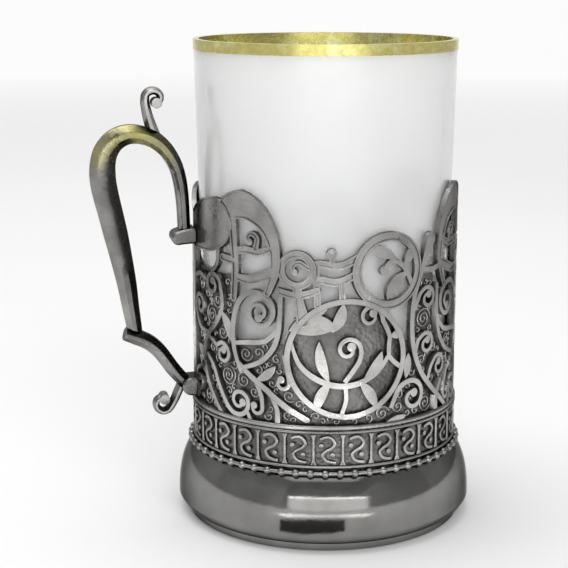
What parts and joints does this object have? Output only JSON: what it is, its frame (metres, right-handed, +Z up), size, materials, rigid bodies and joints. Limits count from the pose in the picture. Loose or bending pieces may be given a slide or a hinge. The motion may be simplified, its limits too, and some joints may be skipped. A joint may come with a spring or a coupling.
{
  "type": "tea glass holder",
  "caption": "Podstakannik tea glass holder: openwork scroll wall on a flared foot, ear-shaped side handle with a thumb rest, and a loose gilt-rimmed tea glass that lifts out.",
  "frame": {"origin": "on the axis of the glass, on the table plane under the foot ring", "axes": "+Z up along the axis of the glass, -X toward the handle, -Y toward the medallion"},
  "size_m": [0.0976, 0.0762, 0.1216],
  "materials": {
    "satin_glass": "satin, lets light through but blurs what stands behind it",
    "gilding": "fired gold, soft gloss",
    "chased_silver": "old silver plate, bright on the edges and dark in the recesses",
    "plain_silver": "old silver plate, polished",
    "handle_silver": "old silver plate with worn gilding on the crown"
  },
  "bodies": {
    "holder": {"foot_shell": "plain_silver", "foot_ring": "plain_silver", "floor_disc": "plain_silver", "band_sleeve": "plain_silver", "beaded_wire": "chased_silver", "lower_wire": "chased_silver", "upper_wire": "chased_silver", "wall_rail": "chased_silver", "frieze_columns": "chased_silver", "frieze_scrolls": "chased_silver", "frieze_dots": "chased_silver", "handle_upper_lug": "handle_silver", "handle_lower_lug": "handle_silver", "handle_lower_arm": "handle_silver", "handle_bow": "handle_silver", "thumb_rest": "handle_silver", "tail_scroll": "handle_silver", "medallion_rings": "chased_silver", "crest_rings": "chased_silver", "handle_wings": "chased_silver", "handle_root_leaves": "chased_silver", "rear_wings": "chased_silver", "lobe_scrolls": "chased_silver", "small_crest_rings": "chased_silver", "festoons": "chased_silver", "wall_backing": "chased_silver", "large_volutes": "chased_silver", "medallion_scrolls": "chased_silver", "crest_flowers": "chased_silver", "lower_stems": "chased_silver", "flank_stems": "chased_silver", "rear_stems": "chased_silver", "lower_volutes": "chased_silver", "side_stems": "chased_silver", "side_branches": "chased_silver", "corner_volutes": "chased_silver"},
    "tea_glass": {"tea_glass_tumbler": "satin_glass", "gilt_rim_band": "gilding"}
  },
  "joints": [
    {"name": "glass_lift", "type": "slide", "parent": "holder", "child": "tea_glass", "axis": [0, 0, 1], "range_m": [0, 0.1]}
  ]
}
